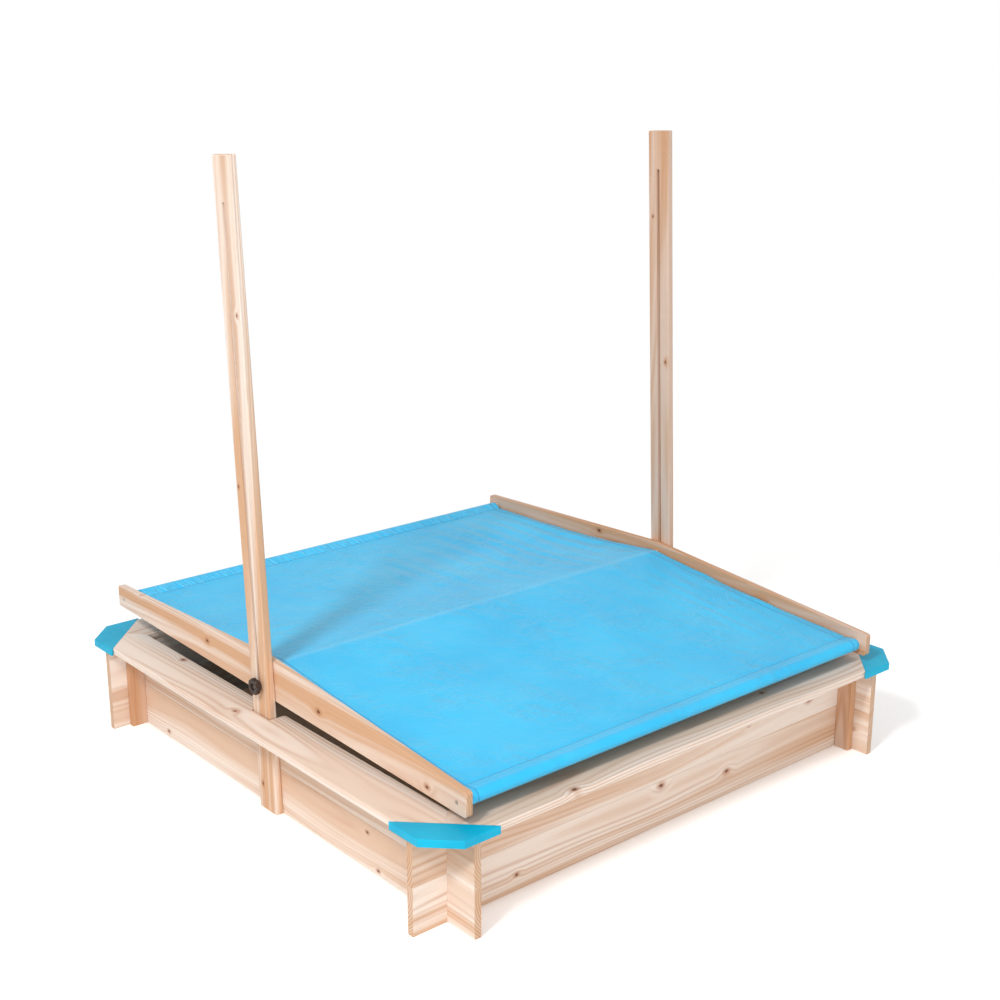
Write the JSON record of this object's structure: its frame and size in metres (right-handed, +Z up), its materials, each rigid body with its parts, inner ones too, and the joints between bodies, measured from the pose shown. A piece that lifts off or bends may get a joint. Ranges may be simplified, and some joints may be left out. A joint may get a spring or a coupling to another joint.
{
  "type": "sandbox",
  "caption": "Square wooden sandbox with seat boards, coloured corner plates and a cloth roof that slides up slotted posts, tilts and lowers as a lid.",
  "frame": {"origin": "on the ground at the middle of the sandbox", "axes": "+Z up; +X from the left post to the right post, along the roof pivot bolts; front at -Y, rear at +Y"},
  "size_m": [1.2, 1.2, 1.1999],
  "materials": {
    "wood_walls": "bare planed fir",
    "wood_seat": "bare planed fir, eased edges",
    "wood_posts": "bare planed fir",
    "wood_roof": "bare planed fir",
    "blue_plate": "opaque turquoise paint, satin",
    "blue_cloth": "smooth woven polyester, slight sheen",
    "zinc": "zinc plated",
    "knob_plastic": "moulded, matt"
  },
  "bodies": {
    "base": {"left_wall_lower": "wood_walls", "left_wall_upper": "wood_walls", "right_wall_lower": "wood_walls", "right_wall_upper": "wood_walls", "front_wall_lower": "wood_walls", "front_wall_upper": "wood_walls", "rear_wall_lower": "wood_walls", "rear_wall_upper": "wood_walls", "batten_left_front": "wood_walls", "batten_left_rear": "wood_walls", "batten_right_front": "wood_walls", "batten_right_rear": "wood_walls", "batten_front_left": "wood_walls", "batten_front_right": "wood_walls", "batten_rear_left": "wood_walls", "batten_rear_right": "wood_walls", "seat_front": "wood_seat", "seat_rear": "wood_seat", "seat_left": "wood_seat", "seat_right": "wood_seat", "plate_left_front": "blue_plate", "plate_left_rear": "blue_plate", "plate_right_front": "blue_plate", "plate_right_rear": "blue_plate", "post_left": "wood_posts", "post_right": "wood_posts"},
    "carriage": {"pivot_bolts": "zinc"},
    "roof": {"roof_rail_left": "wood_roof", "roof_rail_right": "wood_roof", "front_bar": "wood_roof", "rear_bar": "wood_roof", "ridge_bar": "wood_roof", "bar_screws": "zinc", "roof_cloth": "blue_cloth"},
    "left_knob": {"knob_left": "knob_plastic"},
    "right_knob": {"knob_right": "knob_plastic"}
  },
  "joints": [
    {"name": "roof_lift", "type": "slide", "parent": "base", "child": "carriage", "axis": [0, 0.0471, 0.9989], "range_m": [0, 0.86]},
    {"name": "roof_tilt", "type": "hinge", "parent": "carriage", "child": "roof", "pos_m": [0, 0.00759, 0.25], "axis": [1, 0, 0], "range_deg": [-4.2, 1.2]},
    {"name": "left_knob_turn", "type": "hinge", "parent": "carriage", "child": "left_knob", "pos_m": [-0.545, 0.00759, 0.25], "axis": [1, 0, 0], "continuous": true},
    {"name": "right_knob_turn", "type": "hinge", "parent": "carriage", "child": "right_knob", "pos_m": [0.545, 0.00759, 0.25], "axis": [1, 0, 0], "continuous": true}
  ]
}
